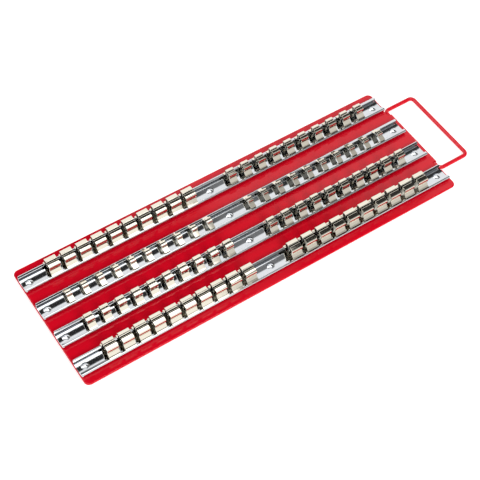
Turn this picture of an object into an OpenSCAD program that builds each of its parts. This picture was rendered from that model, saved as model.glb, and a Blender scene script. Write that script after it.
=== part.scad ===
// Socket rail tray. A flat painted steel sheet with a folded hem carries four
// channel rails, each fixed by three rivets. Spring clips slide along the
// rails and hold sockets by their drive squares. A wire handle swings in a
// curl rolled under the right-hand edge of the sheet.
// X runs along the rails towards the handle, Y across them to the back row,
// Z up. The origin is the centre of the hem's flat underside. Sizes in mm.

/* [Tray] */
// Length of the sheet, without curl and handle
tray_l = 426.5; // [420:0.5:460]
// Width of the sheet
tray_w = 148; // [146:0.5:180]
// Thickness of the sheet
sheet_t = 1; // [0.8:0.1:1.2]
// Width of the hem folded under the edge
hem_w = 5; // [3:0.5:5]
// Corner radius of the sheet
corner_r = 5.5; // [5.5:0.5:8]

/* [Handle] */
// Thickness of the handle wire
wire_d = 4.2; // [3.4:0.1:4.6]
// Distance between the arms, centre to centre
handle_w = 92.8; // [92:0.2:96]
// Distance from the hinge axis to the grip bar
handle_reach = 36; // [20:0.5:60]
// Bend radius where the arms turn into the hinge, on the wire's centre
root_bend_r = 5; // [4:0.5:6]
// Bend radius at the grip's corners, on the wire's centre
grip_bend_r = 4.5; // [4:0.5:12]
// Length of each wire end inside the curl
stub_l = 30; // [15:1:32]
// Gap between the wire and the curl around it
wire_play = 0.06; // [0.02:0.01:0.1]
// Length of the curl along the edge
curl_l = 75; // [66:1:78]
// Clear width of the notch around each arm
notch_w = 12.5; // [11:0.5:14]

/* [Rails] */
// Distance between neighbouring rails
rail_pitch = 36.4; // [34:0.2:40]
// Distance of the four rails' middle from the sheet's, towards the front
rail_offset = 0.5; // [0:0.1:1]
// Width of a rail
rail_w = 20.2; // [19.8:0.1:21]
// Height of a rail
rail_h = 5; // [4.8:0.1:5]
// Thickness of the rail metal
rail_t = 1; // [0.8:0.1:1]
// Width of each lip that turns in over the floor
rail_lip = 3.6; // [3:0.1:3.7]
// Radius of the rail's outer bends
rail_bend_r = 1.5; // [1.2:0.1:1.8]
// Corner radius of the rail's left end, seen from above
rail_end_r = 3; // [1:0.5:4]

/* [Rivets] */
// Diameter of the domed head
rivet_head_d = 8; // [7:0.5:9]
// Height of the domed head
rivet_head_h = 1.6; // [1:0.1:1.8]
// Diameter of the shank
rivet_shank_d = 4.8; // [3.8:0.1:5]

/* [Clips] */
// Thickness of the spring strip
strip_t = 0.6; // [0.4:0.05:0.6]
// Width of a clip for half-inch sockets
half_w = 11.6; // [10:0.1:13]
// Width of a clip for three-eighth-inch sockets
three_eighth_w = 8.3; // [7:0.1:12]
// Width of a clip for quarter-inch sockets
quarter_w = 5.8; // [5:0.1:12]

/* [Hidden] */
$fn = 96;
eps = 0.01;
cut = 20;

// Tray levels: the sheet lies on the hem
tray_top = 2 * sheet_t;
floor_top = tray_top + rail_t;

// Curl: flush with the sheet's top, its axis just past the sheet's edge
curl_bore_r = wire_d / 2 + wire_play;
curl_r = curl_bore_r + sheet_t;
hinge_x = tray_l / 2 + 0.4;
hinge_z = tray_top - curl_r;
curl_end_angle = 170;
notch_x = hinge_x - 2.6;
notch_end = curl_l / 2 + notch_w;

// Rails
rail_left = -tray_l / 2 + 0.85;
rail_right = tray_l / 2 - 2.05;
rail_l = rail_right - rail_left;

// Rivets
rivet_x = [-204.2, -0.9, 202.4];
rivet_hole_d = rivet_shank_d + 0.1;
rivet_tail_d = 6.8;
rivet_tail_h = 0.9;
dome_r = (pow(rivet_head_d / 2, 2) + pow(rivet_head_h, 2)) / (2 * rivet_head_h);

// Clip shapes, one row per drive size: width, strip, tongue.
// A strip or tongue is half of the bent line, from the middle outwards, as
// [distance from the middle, height above the sheet, bend radius]. The two
// halves of a strip meet in the bottom of the groove between its lobes.
HALF = 0;
THREE_EIGHTH = 1;
QUARTER = 2;
shapes = [
  [half_w,
   [[0.95, 10.8, 0.9], [0.95, 16.55, 0.5], [4.7, 16.15, 1.1], [6.15, 13.4, 1.8],
    [4.9, 10, 1.3], [7.2, 6.6, 0.9], [9.6, 5.65, 0]],
   [[5.23, 9.3, 0], [5.7, 8.6, 0.8], [5.7, 3.5, 0.6], [7.7, 3.2, 0]]],
  [three_eighth_w,
   [[0.85, 10.6, 0.8], [0.85, 15.8, 0.5], [2.5, 15.6, 0.8], [4.6, 13.1, 1.6],
    [3.3, 9.5, 1.5], [6.8, 6.35, 0.7], [8.4, 5.6, 0]],
   [[4.5, 8.26, 0], [5.7, 7.18, 0.8], [5.7, 3.5, 0.6], [7.7, 3.2, 0]]],
  [quarter_w,
   [[0.8, 8.2, 0.75], [0.8, 11.7, 0.4], [1.95, 11.55, 0.6], [2.95, 10.2, 1.2],
    [2.1, 8, 1.2], [7.7, 5.65, 0]],
   [[4.5, 6.86, 0], [5.7, 6.36, 0.6], [5.7, 3.5, 0.6], [7.7, 3.2, 0]]]
];
bend_steps = 3;
tongue_share = 0.34;

// Clip rows: rail, end of the rail, shape, middle of the first clip, pitch
rows = [
  [1, "left", HALF, -178.3, 16.9],
  [1, "right", THREE_EIGHTH, 24, 17.55],
  [2, "left", QUARTER, -181.1, 17.3],
  [2, "right", QUARTER, 22.6, 17.75],
  [3, "left", THREE_EIGHTH, -178.9, 16.95],
  [3, "right", THREE_EIGHTH, 24.1, 17.4],
  [4, "left", HALF, -177.3, 16.72],
  [4, "right", HALF, 25.8, 16.98]
];
// Clips of a row that are kept together: single ends, pairs between
sets = [[1], [2, 3], [4, 5], [6, 7], [8, 9], [10]];

function rail_y(n) = (2.5 - n) * rail_pitch - rail_offset;

function set_name(row, set) = len(set) == 1
  ? str("clip_r", row[0], "_", row[1], "_", set[0])
  : str("clips_r", row[0], "_", row[1], "_", set[0], "_", set[1]);

// Bent strip in a plane: a line with rounded corners, then its outline
function unit(v) = v / norm(v);
function left_of(v) = [-v[1], v[0]];
function turned(v, a) = [v[0] * cos(a) - v[1] * sin(a), v[0] * sin(a) + v[1] * cos(a)];
function turn(u, v) = atan2(u[0] * v[1] - u[1] * v[0], u[0] * v[0] + u[1] * v[1]);
function plane_point(p) = [p[0], p[1]];

function corner_arc(a, b, c, r) =
  let (u = unit(b - a), v = unit(c - b), k = turn(u, v), side = sign(k))
  let (middle = b - r * tan(abs(k) / 2) * u + side * r * left_of(u))
  [for (i = [0:bend_steps]) middle + turned(-side * r * left_of(u), k * i / bend_steps)];

function rounded_line(pts) = let (last = len(pts) - 1) concat(
  [plane_point(pts[0])],
  [for (i = [1:last - 1])
    for (p = corner_arc(plane_point(pts[i - 1]), plane_point(pts[i]),
                        plane_point(pts[i + 1]), pts[i][2])) p],
  [plane_point(pts[last])]
);

function side_shift(line, i) =
  let (before = i == 0 ? line[1] - line[0] : line[i] - line[i - 1])
  let (after = i == len(line) - 1 ? before : line[i + 1] - line[i])
  let (along = unit(unit(before) + unit(after)))
  left_of(along) / (unit(before) * along);

function outline(line, t) = let (last = len(line) - 1) concat(
  [for (i = [0:last]) line[i] + t / 2 * side_shift(line, i)],
  [for (i = [last:-1:0]) line[i] - t / 2 * side_shift(line, i)]
);

function both_halves(half) = concat(
  [for (i = [len(half) - 1:-1:0]) [-half[i][0], half[i][1], half[i][2]]],
  half
);

// Extrudes a shape drawn in the Y-Z plane along X, about X = 0
module along_x(length) {
  rotate([90, 0, 90])
    linear_extrude(height = length, center = true)
      children();
}

// Extrudes a shape drawn in the X-Z plane along Y, about Y = 0
module along_y(length) {
  rotate([90, 0, 0])
    linear_extrude(height = length, center = true)
      children();
}

module rounded_rectangle(l, w, r) {
  square([l - 2 * r, w], center = true);
  square([l, w - 2 * r], center = true);
  for (sx = [-1, 1])
    for (sy = [-1, 1])
      translate([sx * (l / 2 - r), sy * (w / 2 - r)])
        circle(r = r);
}

// Folded edge of the sheet: outer face at x = 0, metal towards negative x
module hem_section() {
  translate([-hem_w, 0])
    square([hem_w - sheet_t, tray_top]);
  translate([-sheet_t, sheet_t])
    circle(r = sheet_t);
}

module hem_side(length) {
  along_y(length)
    hem_section();
}

module hem_corner() {
  rotate_extrude(angle = 90)
    intersection() {
      translate([corner_r, 0])
        hem_section();
      square([corner_r, tray_top]);
    }
}

module hemmed_sheet() {
  straight_x = tray_l - 2 * corner_r;
  straight_y = tray_w - 2 * corner_r;
  for (a = [0, 180])
    rotate([0, 0, a])
      translate([tray_l / 2, 0, 0])
        hem_side(straight_y);
  for (a = [90, 270])
    rotate([0, 0, a])
      translate([tray_w / 2, 0, 0])
        hem_side(straight_x);
  for (sx = [0, 1])
    for (sy = [0, 1])
      mirror([sx, 0, 0])
        mirror([0, sy, 0])
          translate([straight_x / 2, straight_y / 2, 0])
            hem_corner();
  translate([0, 0, sheet_t])
    linear_extrude(height = sheet_t)
      rounded_rectangle(tray_l - 2 * sheet_t, tray_w - 2 * sheet_t, corner_r - sheet_t);
}

module curl() {
  translate([hinge_x, 0, hinge_z])
    along_y(curl_l)
      difference() {
        circle(r = curl_r);
        circle(r = curl_bore_r);
        polygon([[0, 0], [0, cut], [-cut, cut],
                 cut * [cos(curl_end_angle), sin(curl_end_angle)]]);
      }
  translate([tray_l / 2 - 2 * hem_w, -curl_l / 2, sheet_t])
    cube([hinge_x - tray_l / 2 + 2 * hem_w, curl_l, sheet_t]);
}

module tray() {
  color("firebrick")
    difference() {
      union() {
        difference() {
          hemmed_sheet();
          translate([notch_x, -notch_end, -cut])
            cube([cut, 2 * notch_end, 2 * cut]);
          translate([tray_l / 2 - hem_w - eps, -notch_end, sheet_t - cut])
            cube([cut, 2 * notch_end, cut]);
        }
        curl();
      }
      for (n = [1:4])
        for (x = rivet_x)
          translate([x, rail_y(n), -eps])
            cylinder(d = rivet_hole_d, h = tray_top + 2 * eps);
    }
}

module wire(length) {
  cylinder(d = wire_d, h = length);
}

module wire_bend(r) {
  rotate_extrude(angle = 90)
    translate([r, 0])
      circle(d = wire_d);
}

module half_handle() {
  arm_y = handle_w / 2;
  root_y = arm_y - root_bend_r;
  grip_y = arm_y - grip_bend_r;
  translate([0, root_y - stub_l, 0])
    rotate([-90, 0, 0])
      wire(stub_l);
  translate([root_bend_r, root_y, 0])
    rotate([0, 0, 90])
      wire_bend(root_bend_r);
  translate([root_bend_r, arm_y, 0])
    rotate([0, 90, 0])
      wire(handle_reach - root_bend_r - grip_bend_r);
  translate([handle_reach - grip_bend_r, grip_y, 0])
    wire_bend(grip_bend_r);
  translate([handle_reach, 0, 0])
    rotate([-90, 0, 0])
      wire(grip_y);
}

module handle() {
  color("firebrick")
    translate([hinge_x, 0, hinge_z]) {
      half_handle();
      mirror([0, 1, 0])
        half_handle();
    }
}

module rail_section() {
  inner_r = rail_bend_r - rail_t;
  difference() {
    translate([0, rail_h / 2])
      rounded_rectangle(rail_w, rail_h, rail_bend_r);
    translate([0, rail_h / 2])
      rounded_rectangle(rail_w - 2 * rail_t, rail_h - 2 * rail_t, inner_r);
    translate([-rail_w / 2 + rail_lip, rail_h / 2])
      square([rail_w - 2 * rail_lip, rail_h]);
  }
}

module rail(n) {
  color("silver")
    translate([0, rail_y(n), tray_top])
      difference() {
        intersection() {
          translate([(rail_left + rail_right) / 2, 0, 0])
            along_x(rail_l)
              rail_section();
          translate([rail_left + rail_l, 0, -eps])
            linear_extrude(height = rail_h + 2 * eps)
              rounded_rectangle(2 * rail_l, rail_w, rail_end_r);
        }
        for (x = rivet_x)
          translate([x, 0, -eps])
            cylinder(d = rivet_hole_d, h = rail_t + 2 * eps);
      }
}

module rivet() {
  intersection() {
    translate([0, 0, floor_top + rivet_head_h - dome_r])
      sphere(r = dome_r);
    translate([0, 0, floor_top])
      cylinder(d = rivet_head_d, h = 2 * rivet_head_h);
  }
  translate([0, 0, sheet_t - rivet_tail_h])
    cylinder(d = rivet_shank_d, h = floor_top - sheet_t + rivet_tail_h);
  translate([0, 0, sheet_t - rivet_tail_h])
    cylinder(d = rivet_tail_d, h = rivet_tail_h);
}

module rivets(n) {
  color("lightgrey")
    for (x = rivet_x)
      translate([x, rail_y(n), 0])
        rivet();
}

module clip(shape) {
  width = shape[0];
  strip = shape[1];
  tongue = shape[2];
  along_x(width)
    polygon(outline(rounded_line(both_halves(strip)), strip_t));
  for (side = [0, 1])
    mirror([0, side, 0])
      along_x(tongue_share * width)
        polygon(outline(rounded_line(tongue), strip_t));
}

module clips(row, set) {
  color("gainsboro")
    for (i = set)
      translate([row[3] + (i - 1) * row[4], rail_y(row[0]), tray_top])
        clip(shapes[row[2]]);
}

tray();
handle();
for (n = [1:4])
  rail(n);
for (n = [1:4])
  rivets(n);
for (row = rows)
  for (set = sets)
    clips(row, set);
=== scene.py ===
import math

import bmesh
import bpy
from mathutils import Matrix, Vector


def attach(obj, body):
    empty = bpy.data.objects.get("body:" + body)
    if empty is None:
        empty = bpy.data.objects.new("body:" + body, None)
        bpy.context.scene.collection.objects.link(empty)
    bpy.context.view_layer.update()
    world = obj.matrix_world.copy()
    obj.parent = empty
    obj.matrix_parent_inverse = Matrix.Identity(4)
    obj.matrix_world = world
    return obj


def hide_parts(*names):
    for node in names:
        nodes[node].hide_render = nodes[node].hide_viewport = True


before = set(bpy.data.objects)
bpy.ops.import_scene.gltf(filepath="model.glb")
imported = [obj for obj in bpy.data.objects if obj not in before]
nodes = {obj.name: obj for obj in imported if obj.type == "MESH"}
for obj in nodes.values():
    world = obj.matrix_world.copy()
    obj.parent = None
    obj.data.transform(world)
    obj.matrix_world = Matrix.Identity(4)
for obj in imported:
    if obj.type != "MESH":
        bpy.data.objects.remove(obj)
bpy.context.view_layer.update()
scene = bpy.context.scene

# Tray and handle: one flat steel sheet with a folded hem and a curl rolled
# under its right-hand edge, and a bent steel wire whose ends turn in the curl.
# Both keep the solids of the frame and are enamelled in the same red.
MM = 0.001
ENAMEL_RED = "cd0820"


def linear(code):
    """Scene-linear colour of an sRGB hex code such as 'cc1020'."""
    channels = [int(code[i : i + 2], 16) / 255 for i in (0, 2, 4)]
    return tuple(c / 12.92 if c <= 0.04045 else ((c + 0.055) / 1.055) ** 2.4 for c in channels) + (1.0,)


def add_node(tree, kind, at, settings=None, in_order=(), **inputs):
    """Adds a node with its settings, and sets or links its inputs, in their order or by name."""
    node = tree.nodes.new(kind)
    node.location = at
    for name, value in (settings or {}).items():
        setattr(node, name, value)
    wanted = list(zip(node.inputs, in_order))
    wanted += [(node.inputs[name.replace("_", " ")], value) for name, value in inputs.items()]
    for socket, value in wanted:
        if isinstance(value, bpy.types.NodeSocket):
            tree.links.new(value, socket)
        else:
            socket.default_value = value
    return node


def new_material(name):
    """An empty material, its node tree and its object coordinates."""
    material = bpy.data.materials.new(name)
    material.use_nodes = True
    material.node_tree.nodes.clear()
    place = add_node(material.node_tree, "ShaderNodeTexCoord", (-900, 0))
    return material, material.node_tree, place.outputs["Object"]


# Red enamel, sprayed and stoved: a deep, clear gloss. The film lies in long
# waves and has a fine peel, so that what it mirrors is never quite straight.
# Lengths and depths are in mm.
WAVE_LENGTH, WAVE_DEPTH = 22.22, 0.4
PEEL_LENGTH, PEEL_DEPTH = 1.111, 0.05
enamel, tree, place = new_material("red enamel")
waves = add_node(
    tree, "ShaderNodeTexNoise", (-600, -200), Vector=place, Scale=1 / (WAVE_LENGTH * MM), Detail=2.0
)
peel = add_node(
    tree, "ShaderNodeTexNoise", (-600, -420), Vector=place, Scale=1 / (PEEL_LENGTH * MM), Detail=1.0
)
wavy = add_node(
    tree,
    "ShaderNodeBump",
    (-350, -200),
    Strength=0.08,
    Distance=WAVE_DEPTH * MM,
    Height=waves.outputs["Fac"],
)
peeled = add_node(
    tree,
    "ShaderNodeBump",
    (-150, -300),
    Strength=0.05,
    Distance=PEEL_DEPTH * MM,
    Height=peel.outputs["Fac"],
    Normal=wavy.outputs["Normal"],
)
paint = add_node(
    tree,
    "ShaderNodeBsdfPrincipled",
    (200, 0),
    Base_Color=linear(ENAMEL_RED),
    Specular_IOR_Level=0.0,
    Roughness=0.5,
    Coat_Weight=1.0,
    Coat_Roughness=0.03,
    Coat_IOR=1.36,
    Normal=peeled.outputs["Normal"],
    Coat_Normal=peeled.outputs["Normal"],
)
add_node(tree, "ShaderNodeOutputMaterial", (600, 0), Surface=paint.outputs["BSDF"])
for name in ("tray", "handle"):
    nodes[name].data.materials.clear()
    nodes[name].data.materials.append(enamel)

# Rails: four channels roll-formed from plated steel strip. Each floor is a
# shallow trough that runs up into the walls, and two lips turn in over it and
# sag a little. The ends are cut off with rounded corners.
RAIL_Y = (54.1, 17.7, -18.7, -55.1)
RAIL_LEFT, RAIL_RIGHT = -212.4, 211.2
RAIL_METAL, RAIL_CUT_ROUND = 1.0, 0.2
RAIL_WALL, RAIL_HEIGHT = 10.1, 5.0
TROUGH_HALF, TROUGH_CURVE = 5.0, 0.0192
FLANK_REACH, FLANK_SLOPE = 8.28, math.radians(20)
LIP_EDGE, LIP_BEND = 6.5, 1.0
LEFT_CORNER, RIGHT_CORNER, END_LENGTH = 3.0, 0.8, 4.0
TRAY_TOP = 2.0
# Of each rail: the side step of its trough's middle, and the sag of its far and near lip in degrees
RAIL_FORM = ((-0.6, 1.1, 3.5), (0.0, 1.2, 3.5), (0.6, 3.2, 3.5), (0.8, 3.0, 3.5))
TROUGH_STEPS, BEND_STEPS, LIP_STEPS = 20, 12, 5


def sheet_metal(name, thickness, faces_of, cut_round):
    """Makes a mesh from mid-surface faces in mm, thickens it and rounds its cut edges."""
    mesh = bpy.data.meshes.new(name)
    shape = bmesh.new()
    faces_of(shape)
    bmesh.ops.remove_doubles(shape, verts=shape.verts, dist=1e-4)
    bmesh.ops.recalc_face_normals(shape, faces=shape.faces)
    bmesh.ops.scale(shape, vec=(MM, MM, MM), verts=shape.verts)
    shape.to_mesh(mesh)
    shape.free()
    for face in mesh.polygons:
        face.use_smooth = True
    draft = bpy.data.objects.new(name, mesh)
    scene.collection.objects.link(draft)
    thick = draft.modifiers.new("thickness", "SOLIDIFY")
    thick.thickness = thickness * MM
    thick.offset = 0
    thick.use_even_offset = True
    rounded = draft.modifiers.new("rounded cut edges", "BEVEL")
    rounded.width = cut_round * MM
    rounded.segments = 2
    rounded.limit_method = "ANGLE"
    rounded.angle_limit = math.radians(50)
    flats = draft.modifiers.new("flat faces stay flat", "WEIGHTED_NORMAL")
    flats.weight = 50
    flats.keep_sharp = True
    made = bpy.data.meshes.new_from_object(draft.evaluated_get(bpy.context.evaluated_depsgraph_get()))
    bpy.data.objects.remove(draft)
    made.name = name
    return made


def rail_half(side, middle, sag):
    """Mid-line of one half of a rail's section, from its floor's middle to its lip's edge."""
    wall, top = RAIL_WALL - RAIL_METAL / 2, RAIL_HEIGHT - RAIL_METAL / 2
    line = []
    for i in range(TROUGH_STEPS + 1):
        out = TROUGH_HALF * i / TROUGH_STEPS
        line.append(Vector((out, RAIL_METAL / 2 + TROUGH_CURVE / 2 * (out - side * middle) ** 2)))
    start = math.atan(TROUGH_CURVE * (TROUGH_HALF - side * middle))
    for first, last, reach in ((start, FLANK_SLOPE, FLANK_REACH), (FLANK_SLOPE, math.pi / 2, wall)):
        radius = (reach - line[-1].x) / (math.sin(last) - math.sin(first))
        origin = line[-1].copy()
        for i in range(1, BEND_STEPS + 1):
            slope = first + (last - first) * i / BEND_STEPS
            step = Vector((math.sin(slope) - math.sin(first), math.cos(first) - math.cos(slope)))
            line.append(origin + radius * step)
    for i in range(BEND_STEPS + 1):
        turn = math.radians((90 + sag) * i / BEND_STEPS)
        out, up = LIP_BEND * math.cos(turn), LIP_BEND * math.sin(turn)
        line.append(Vector((wall - LIP_BEND + out, top - LIP_BEND + up)))
    bend_end = line[-1].copy()
    for i in range(1, LIP_STEPS + 1):
        inward = (bend_end.x - LIP_EDGE) * i / LIP_STEPS
        line.append(Vector((bend_end.x - inward, bend_end.y - inward * math.tan(math.radians(sag)))))
    return [Vector((side * p.x, p.y)) for p in line]


def rail_faces(middle, far_sag, near_sag):
    """Gives the function that draws a rail's mid-surface, with its corners cut round."""

    def draw(shape):
        line = rail_half(-1, middle, near_sag)[:0:-1] + rail_half(1, middle, far_sag)
        cuts = (
            (RAIL_LEFT, LEFT_CORNER, 1),
            (RAIL_LEFT + END_LENGTH, 0, 1),
            (RAIL_RIGHT - END_LENGTH, 0, 1),
            (RAIL_RIGHT, RIGHT_CORNER, -1),
        )
        rows = []
        for end, corner, inward in cuts:
            row = []
            for p in line:
                past_corner = max(0.0, abs(p.x) - (RAIL_WALL - corner))
                cut = corner - math.sqrt(max(0.0, corner**2 - past_corner**2)) if corner else 0.0
                row.append(shape.verts.new((end + inward * cut, p.x, TRAY_TOP + p.y)))
            rows.append(row)
        for row, next_row in zip(rows, rows[1:]):
            for i in range(len(line) - 1):
                shape.faces.new((row[i], next_row[i], next_row[i + 1], row[i + 1]))

    return draw


# Zinc plating on rolled steel strip: a cool, bright grey mirror. Rolling leaves
# faint lines along the rail, here coarser than real ones so that they show,
# and the plating clouds a little in tone. Sizes are in mm.
LINE_LENGTH, LINE_WIDTH, LINE_DEPTH = 16.67, 0.833, 0.2
CLOUD_WIDTH = 8.333
ZINC_DARK, ZINC_LIGHT = "bfc2c6", "c8cacc"
plated, tree, place = new_material("zinc-plated steel")
stretch = add_node(
    tree,
    "ShaderNodeMapping",
    (-700, 0),
    Vector=place,
    Scale=(1 / (LINE_LENGTH * MM), 1 / (LINE_WIDTH * MM), 1 / (LINE_WIDTH * MM)),
)
drawn = add_node(
    tree, "ShaderNodeTexNoise", (-500, -100), Vector=stretch.outputs["Vector"], Scale=1.0, Detail=3.0
)
clouds = add_node(
    tree, "ShaderNodeTexNoise", (-500, 200), Vector=place, Scale=1 / (CLOUD_WIDTH * MM), Detail=3.0
)
tone = add_node(
    tree,
    "ShaderNodeMix",
    (-250, 200),
    settings={"data_type": "RGBA"},
    Factor=clouds.outputs["Fac"],
    A=linear(ZINC_DARK),
    B=linear(ZINC_LIGHT),
)
gloss = add_node(
    tree, "ShaderNodeMapRange", (-250, -100), Value=drawn.outputs["Fac"], To_Min=0.05, To_Max=0.08
)
lines = add_node(
    tree,
    "ShaderNodeBump",
    (-250, -350),
    Strength=0.012,
    Distance=LINE_DEPTH * MM,
    Height=drawn.outputs["Fac"],
)
zinc = add_node(
    tree,
    "ShaderNodeBsdfPrincipled",
    (200, 0),
    Base_Color=tone.outputs["Result"],
    Metallic=1.0,
    Roughness=gloss.outputs["Result"],
    Normal=lines.outputs["Normal"],
)
add_node(tree, "ShaderNodeOutputMaterial", (600, 0), Surface=zinc.outputs["BSDF"])
for number, (across, form) in enumerate(zip(RAIL_Y, RAIL_FORM), 1):
    mesh = sheet_metal(f"rail {number}", RAIL_METAL, rail_faces(*form), RAIL_CUT_ROUND)
    mesh.materials.clear()
    mesh.materials.append(plated)
    mesh.transform(Matrix.Translation((0, across * MM, 0)))
    rail = bpy.data.objects.new(f"rolled_rail_{number}", mesh)
    scene.collection.objects.link(rail)
    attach(rail, "tray_and_rails")
    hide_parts(f"rail_{number}")

# Rivets: twelve domed steel heads with the rails' plating, three in each
# rail's floor. They are set from below, where their flat tails stay inside
# the depth of the hem.
for number in range(1, len(RAIL_Y) + 1):
    rivets = nodes[f"rivets_{number}"]
    rivets.data.materials.clear()
    rivets.data.materials.append(plated)

# Clips: strips of spring steel, each bent to a post with a groove along its
# top, two sprung sides and two feet that lie on the rail's lips. A tongue
# lanced from each side goes through the slot and under the lip.
CLIP_METAL, CLIP_CUT_ROUND = 0.6, 0.08
TONGUE_SHARE = 0.34
CLIP_BEND_STEP = 14.0  # degrees
# Of each size: the strip's width, and the points of one half of its middle
# line, from the groove to the foot, and of a tongue's. A point is its distance
# from the rail's middle, its height over the tray, and the radius of its bend.
CLIP_SIZES = {
    "half": {
        "width": 11.6,
        "strip": [
            (0, 10.8, 0),
            (0.95, 10.8, 0.9),
            (0.95, 16.49, 0.35),
            (2.2, 16.45, 12),
            (4, 16.3, 12),
            (5.9, 15.95, 1),
            (6, 13.2, 1.5),
            (5, 10.1, 1.2),
            (7.2, 6.6, 0.9),
            (8.4, 5.95, 2),
            (10, 5.6, 0),
        ],
        "tongue": [(5.23, 9.3, 0), (5.7, 8.6, 0.8), (5.7, 3.5, 0.6), (7.7, 3.2, 0)],
    },
    "three_eighth": {
        "width": 8.3,
        "strip": [
            (0, 10.6, 0),
            (0.85, 10.6, 0.8),
            (0.85, 15.8, 0.35),
            (1.7, 15.76, 5),
            (2.9, 15.62, 5),
            (4.1, 15.4, 0.9),
            (4.4, 12.9, 1.4),
            (3.5, 9.7, 1.3),
            (6.8, 6.4, 0.6),
            (7.7, 5.95, 1.2),
            (8.8, 5.65, 0),
        ],
        "tongue": [(4.5, 8.26, 0), (5.7, 7.18, 0.8), (5.7, 3.5, 0.6), (7.7, 3.2, 0)],
    },
    "quarter": {
        "width": 5.8,
        "strip": [
            (0, 8.2, 0),
            (0.8, 8.2, 0.75),
            (0.8, 11.7, 0.35),
            (1.4, 11.67, 2.5),
            (2.6, 11.47, 0.6),
            (2.85, 10.2, 0.9),
            (2.1, 8, 1.2),
            (8, 5.65, 0),
        ],
        "tongue": [(4.5, 6.86, 0), (5.7, 6.36, 0.6), (5.7, 3.5, 0.6), (7.7, 3.2, 0)],
    },
}


def bent_line(points):
    """Points (out, up, bend radius) to a line with an arc at each corner."""
    line = [Vector(points[0][:2])]
    for a, b, c in zip(points, points[1:], points[2:]):
        before, corner, after = Vector(a[:2]), Vector(b[:2]), Vector(c[:2])
        radius = b[2]
        u, v = (corner - before).normalized(), (after - corner).normalized()
        bend = math.atan2(u.x * v.y - u.y * v.x, u.dot(v))
        side = 1 if bend > 0 else -1
        normal = Vector((-u.y, u.x))
        middle = corner - radius * math.tan(abs(bend) / 2) * u + side * radius * normal
        count = max(2, math.ceil(abs(math.degrees(bend)) / CLIP_BEND_STEP))
        for i in range(count + 1):
            turn = Matrix.Rotation(bend * i / count, 2)
            line.append(middle + turn @ (-side * radius * normal))
    line.append(Vector(points[-1][:2]))
    return line


def clip_faces(form):
    """Gives the function that draws a clip's mid-surface: its strip and its two tongues."""

    def draw(shape):
        width, half, tongue = form["width"], bent_line(form["strip"]), bent_line(form["tongue"])
        strip = [Vector((-p.x, p.y)) for p in half[:0:-1]] + half
        near_tongue = [Vector((-p.x, p.y)) for p in tongue]
        narrow = TONGUE_SHARE * width
        for line, wide in ((strip, width), (tongue, narrow), (near_tongue, narrow)):
            rows = [
                [shape.verts.new((x, p.x, TRAY_TOP + p.y)) for x in (-wide / 2, wide / 2)] for p in line
            ]
            for row, next_row in zip(rows, rows[1:]):
                shape.faces.new((row[0], row[1], next_row[1], next_row[0]))

    return draw


# Nickel plating on spring steel: a warm, bright mirror that ripples a little
# where the strip was bent. Its colour is painted darker in the groove and the
# folds by ambient occlusion, as painted shade. Sizes are in mm.
RIPPLE_LENGTH, RIPPLE_DEPTH = 6.25, 0.3
SHADE_REACH = 3.0
NICKEL_PAINTED_SHADE, NICKEL_LIGHT = "4a4238", "d4cebf"
spring, tree, place = new_material("nickel-plated spring steel")
ripple = add_node(
    tree, "ShaderNodeTexNoise", (-500, -100), Vector=place, Scale=1 / (RIPPLE_LENGTH * MM), Detail=2.0
)
soft = add_node(
    tree,
    "ShaderNodeBump",
    (-250, -350),
    Strength=0.06,
    Distance=RIPPLE_DEPTH * MM,
    Height=ripple.outputs["Fac"],
)
# Painted shade: ambient occlusion mixes the base colour towards the dark tone in the groove, folds and
# gaps
fold_shade = add_node(tree, "ShaderNodeAmbientOcclusion", (-500, 200), Distance=SHADE_REACH * MM)
unshaded = add_node(
    tree, "ShaderNodeMapRange", (-300, 200), Value=fold_shade.outputs["AO"], From_Min=0.3, From_Max=0.85
)
shaded_nickel = add_node(
    tree,
    "ShaderNodeMix",
    (-100, 200),
    settings={"data_type": "RGBA"},
    Factor=unshaded.outputs["Result"],
    A=linear(NICKEL_PAINTED_SHADE),
    B=linear(NICKEL_LIGHT),
)
nickel = add_node(
    tree,
    "ShaderNodeBsdfPrincipled",
    (200, 0),
    Base_Color=shaded_nickel.outputs["Result"],
    Metallic=1.0,
    Roughness=0.05,
    Normal=soft.outputs["Normal"],
)
add_node(tree, "ShaderNodeOutputMaterial", (600, 0), Surface=nickel.outputs["BSDF"])

# One clip of each size, for the rows to repeat
one_clip = {}
for size in CLIP_SIZES:
    mesh = sheet_metal(f"clip {size}", CLIP_METAL, clip_faces(CLIP_SIZES[size]), CLIP_CUT_ROUND)
    one_clip[size] = bpy.data.objects.new(size, mesh)

# Rows of clips: ten at each end of each rail, set out at an even pitch. The
# first and the last of a row slide alone and those between in pairs, and
# each body's clips are laid out by the same nodes.
row_tree = bpy.data.node_groups.new("clips along a rail", "GeometryNodeTree")
ROW_INPUTS = {"Clip": "Object", "Count": "Int", "First": "Vector", "Step": "Vector", "Metal": "Material"}
for name, kind in ROW_INPUTS.items():
    row_tree.interface.new_socket(name, in_out="INPUT", socket_type=f"NodeSocket{kind}")
row_tree.interface.new_socket("Geometry", in_out="OUTPUT", socket_type="NodeSocketGeometry")
given = add_node(row_tree, "NodeGroupInput", (0, 0))
clip = add_node(row_tree, "GeometryNodeObjectInfo", (200, -200), Object=given.outputs["Clip"])
spots = add_node(
    row_tree,
    "GeometryNodeMeshLine",
    (200, 100),
    Count=given.outputs["Count"],
    Start_Location=given.outputs["First"],
    Offset=given.outputs["Step"],
)
placed = add_node(
    row_tree,
    "GeometryNodeInstanceOnPoints",
    (400, 0),
    Points=spots.outputs["Mesh"],
    Instance=clip.outputs["Geometry"],
)
real = add_node(
    row_tree, "GeometryNodeRealizeInstances", (600, 0), Geometry=placed.outputs["Instances"]
)
coated = add_node(
    row_tree,
    "GeometryNodeSetMaterial",
    (800, 0),
    Geometry=real.outputs["Geometry"],
    Material=given.outputs["Metal"],
)
add_node(row_tree, "NodeGroupOutput", (1000, 0), Geometry=coated.outputs["Geometry"])
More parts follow.
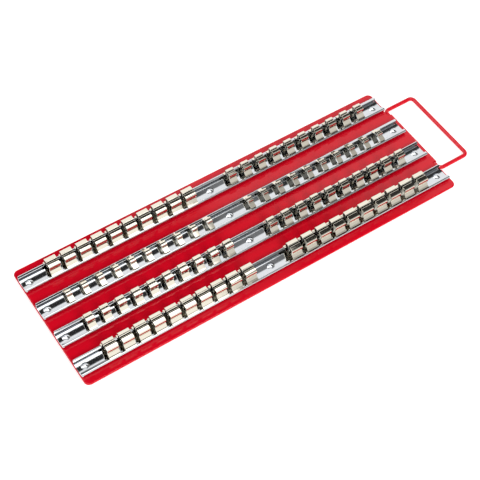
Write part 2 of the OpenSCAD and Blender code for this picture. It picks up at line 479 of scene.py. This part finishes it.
row_sockets = {
    item.name: item.identifier for item in row_tree.interface.items_tree if item.in_out == "INPUT"
}

# Rail, end of the rail, size, place of the first clip along the rail, pitch
CLIP_ROWS = (
    (1, "left", "half", -178.3, 16.9),
    (1, "right", "three_eighth", 24.0, 17.55),
    (2, "left", "quarter", -181.1, 17.3),
    (2, "right", "quarter", 22.6, 17.75),
    (3, "left", "three_eighth", -178.9, 16.95),
    (3, "right", "three_eighth", 24.1, 17.4),
    (4, "left", "half", -177.3, 16.72),
    (4, "right", "half", 25.8, 16.98),
)
# Of each body: its first clip in the row, and how many it has
CLIP_BODIES = ((1, 1), (2, 2), (4, 2), (6, 2), (8, 2), (10, 1))
for rail, end, size, first, pitch in CLIP_ROWS:
    for start, count in CLIP_BODIES:
        if count == 1:
            body = f"clip_r{rail}_{end}_{start}"
        else:
            body = f"clips_r{rail}_{end}_{start}_{start + 1}"
        clips = bpy.data.objects.new(f"{size}_clips_{rail}_{end}_{start}", bpy.data.meshes.new(body))
        scene.collection.objects.link(clips)
        row = clips.modifiers.new("clips", "NODES")
        row.node_group = row_tree
        row[row_sockets["Clip"]] = one_clip[size]
        row[row_sockets["Count"]] = count
        row[row_sockets["First"]] = ((first + (start - 1) * pitch) * MM, RAIL_Y[rail - 1] * MM, 0.0)
        row[row_sockets["Step"]] = (pitch * MM, 0.0, 0.0)
        row[row_sockets["Metal"]] = spring
        made = bpy.data.meshes.new_from_object(clips.evaluated_get(bpy.context.evaluated_depsgraph_get()))
        clips.modifiers.clear()
        clips.data = made
        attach(clips, body)
        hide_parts(body)
for clip_object in one_clip.values():
    bpy.data.objects.remove(clip_object)

# Floor: a wide sheet of white paper, just under the curl, which is the lowest
# part of the tray. It glows a little, so that it stays white to the camera
# and keeps only a faint shadow.
FLOOR_REACH, FLOOR_LEVEL = 600 * MM, -4.6 * MM
mesh = bpy.data.meshes.new("floor")
sides = ((-1, -1), (1, -1), (1, 1), (-1, 1))
corners = [(x * FLOOR_REACH, y * FLOOR_REACH, FLOOR_LEVEL) for x, y in sides]
mesh.from_pydata(corners, [], [(0, 1, 2, 3)])
floor = bpy.data.objects.new("floor", mesh)
scene.collection.objects.link(floor)
paper, tree = new_material("white paper")[:2]
white = add_node(
    tree,
    "ShaderNodeBsdfPrincipled",
    (200, 0),
    Base_Color=(0.8, 0.8, 0.8, 1),
    Roughness=0.9,
    Emission_Color=(1, 1, 1, 1),
    Emission_Strength=0.6,
)
add_node(tree, "ShaderNodeOutputMaterial", (600, 0), Surface=white.outputs["BSDF"])
mesh.materials.append(paper)

# Room: white to the camera and for the light that it gives. What is glossy
# mirrors the panels of a studio instead: bright ones behind and over the tray,
# with dark gaps between, which turn into other ones towards its right end.

# Angle in degrees, from the horizon behind the tray up and over to the front, and brightness
LEFT_PANELS = (
    (0, 1.4),
    (52.2, 1.4),
    (53.6, 0.0),
    (63.2, 0.0),
    (64.6, 2.8),
    (104, 2.8),
    (108, 0.2),
    (118, 0.2),
    (122, 1.4),
)
RIGHT_PANELS = (
    (0, 1.4),
    (52.2, 1.4),
    (53.6, 0.0),
    (78, 0.03),
    (84, 0.6),
    (104, 0.6),
    (108, 0.1),
    (118, 0.1),
    (124, 0.9),
)
# The way straight back over the tray, level with the floor
BEHIND = (0.494, 0.87, 0.0)
# Share of the way to the right over which the left panels turn into the right ones. At the top this
# leans over to the left, between two angles in radians.
PANEL_CHANGE = (0.335, 0.36)
LEAN, LEAN_ANGLES = 0.05, (1.12, 1.4)
# Least light in the gaps: share of the way to the right, and brightness. Past some 52 degrees from
# straight back, between the two cosines, it falls to a part of that.
GAP_LIGHT = ((0.2, 0.09), (0.306, 0.1), (0.318, 0.75), (0.346, 0.75), (0.356, 0.1), (0.5, 0.12))
GAP_LIGHT_PART, GAP_LIGHT_FALL = 0.4, (0.595, 0.62)
ROOM_LIGHT = 0.72

world = bpy.data.worlds.new("white room")
scene.world = world
world.use_nodes = True
tree = world.node_tree
tree.nodes.clear()
direction = add_node(tree, "ShaderNodeTexCoord", (-1300, -300)).outputs["Generated"]
towards = add_node(tree, "ShaderNodeSeparateXYZ", (-1100, -500), Vector=direction)
behind = add_node(
    tree,
    "ShaderNodeVectorMath",
    (-1100, -300),
    settings={"operation": "DOT_PRODUCT"},
    in_order=(direction, BEHIND),
)
angle = add_node(
    tree,
    "ShaderNodeMath",
    (-900, -300),
    settings={"operation": "ARCTAN2"},
    in_order=(towards.outputs["Z"], behind.outputs["Value"]),
)
half_turn = add_node(
    tree, "ShaderNodeMapRange", (-700, -300), Value=angle.outputs["Value"], From_Max=math.pi
)
ramps = []
for stops, ramp_end, along in (
    (LEFT_PANELS, 180, half_turn.outputs["Result"]),
    (RIGHT_PANELS, 180, half_turn.outputs["Result"]),
    (GAP_LIGHT, 1, towards.outputs["X"]),
):
    ramp = add_node(tree, "ShaderNodeValToRGB", (-400, -300 - 250 * len(ramps)), Fac=along)
    while len(ramp.color_ramp.elements) < len(stops):
        ramp.color_ramp.elements.new(0.5)
    for element, (at, brightness) in zip(ramp.color_ramp.elements, stops):
        element.position = at / ramp_end
        element.color = (brightness, brightness, brightness, 1)
    ramps.append(ramp.outputs["Color"])
left_panels, right_panels, gap_light = ramps
lean = add_node(
    tree,
    "ShaderNodeMapRange",
    (-700, -800),
    Value=angle.outputs["Value"],
    From_Min=LEAN_ANGLES[0],
    From_Max=LEAN_ANGLES[1],
    To_Max=LEAN,
)
rightward = add_node(
    tree, "ShaderNodeMath", (-550, -700), in_order=(towards.outputs["X"], lean.outputs["Result"])
)
change = add_node(
    tree,
    "ShaderNodeMapRange",
    (-400, -1100),
    Value=rightward.outputs["Value"],
    From_Min=PANEL_CHANGE[0],
    From_Max=PANEL_CHANGE[1],
)
panels = add_node(
    tree,
    "ShaderNodeMix",
    (-200, -300),
    settings={"data_type": "RGBA"},
    Factor=change.outputs["Result"],
    A=left_panels,
    B=right_panels,
)
gap_part = add_node(
    tree,
    "ShaderNodeMapRange",
    (-700, -1000),
    Value=behind.outputs["Value"],
    From_Min=GAP_LIGHT_FALL[0],
    From_Max=GAP_LIGHT_FALL[1],
    To_Min=GAP_LIGHT_PART,
)
haze = add_node(
    tree,
    "ShaderNodeMath",
    (-200, -700),
    settings={"operation": "MULTIPLY"},
    in_order=(gap_light, gap_part.outputs["Result"]),
)
studio = add_node(
    tree,
    "ShaderNodeMath",
    (0, -400),
    settings={"operation": "MAXIMUM"},
    in_order=(panels.outputs["Result"], haze.outputs["Value"]),
)
path = add_node(tree, "ShaderNodeLightPath", (-600, 0))
seen = add_node(
    tree,
    "ShaderNodeMath",
    (-400, 0),
    settings={"operation": "MAXIMUM"},
    in_order=(path.outputs["Is Camera Ray"], path.outputs["Is Glossy Ray"]),
)
clear = add_node(
    tree,
    "ShaderNodeMath",
    (-200, 0),
    settings={"operation": "MAXIMUM"},
    in_order=(seen.outputs["Value"], path.outputs["Is Transmission Ray"]),
)
strength = add_node(
    tree, "ShaderNodeMapRange", (0, 0), Value=clear.outputs["Value"], To_Min=ROOM_LIGHT, To_Max=1.0
)
colour = add_node(
    tree,
    "ShaderNodeMix",
    (150, -200),
    settings={"data_type": "RGBA"},
    Factor=path.outputs["Is Glossy Ray"],
    A=(1, 1, 1, 1),
    B=studio.outputs["Value"],
)
sky = add_node(
    tree,
    "ShaderNodeBackground",
    (350, 0),
    Color=colour.outputs["Result"],
    Strength=strength.outputs["Result"],
)
add_node(tree, "ShaderNodeOutputWorld", (600, 0), Surface=sky.outputs["Background"])

# Lamps: three large soft ones, in front, overhead and at the right. They
# aren't seen in what is glossy. Each has a place and size in metres and a
# power in watts.
LAMPS = (
    ("key lamp", (-0.1, -1.0, 0.8), 0.6, 8.0),
    ("overhead lamp", (0.2, -0.3, 1.6), 1.2, 1.5),
    ("side lamp", (0.9, 0.35, 0.6), 0.6, 2.0),
)
for name, at, wide, power in LAMPS:
    light = bpy.data.lights.new(name, "AREA")
    light.shape = "DISK"
    light.size = wide
    light.energy = power
    lamp = bpy.data.objects.new(name, light)
    lamp.location = at
    lamp.rotation_mode = "QUATERNION"
    lamp.rotation_quaternion = Vector(at).to_track_quat("Z", "Y")
    lamp.visible_glossy = False
    scene.collection.objects.link(lamp)

# Camera: its place, turn and lens were solved from the tray's edges and the
# rails in the photograph. The three directions are its own right, up and back.
CAMERA_PLACE = (-0.40075, -0.605, 0.9877)
CAMERA_RIGHT = (0.83748, -0.54644, 0.005)
CAMERA_UP = (0.44087, 0.68104, 0.58465)
CAMERA_BACK = (-0.32288, -0.48743, 0.81127)
camera_data = bpy.data.cameras.new("camera")
camera_data.lens = 93.17
camera_data.sensor_width = 36.0
camera_data.clip_start = 0.01
camera = bpy.data.objects.new("camera", camera_data)
turn = Matrix((CAMERA_RIGHT, CAMERA_UP, CAMERA_BACK)).transposed()
camera.matrix_world = Matrix.Translation(CAMERA_PLACE) @ turn.to_4x4()
scene.collection.objects.link(camera)
scene.camera = camera

# The clips mirror one another and the rails, which takes more bounces than usual
scene.cycles.glossy_bounces = 8
scene.view_settings.view_transform = "Standard"
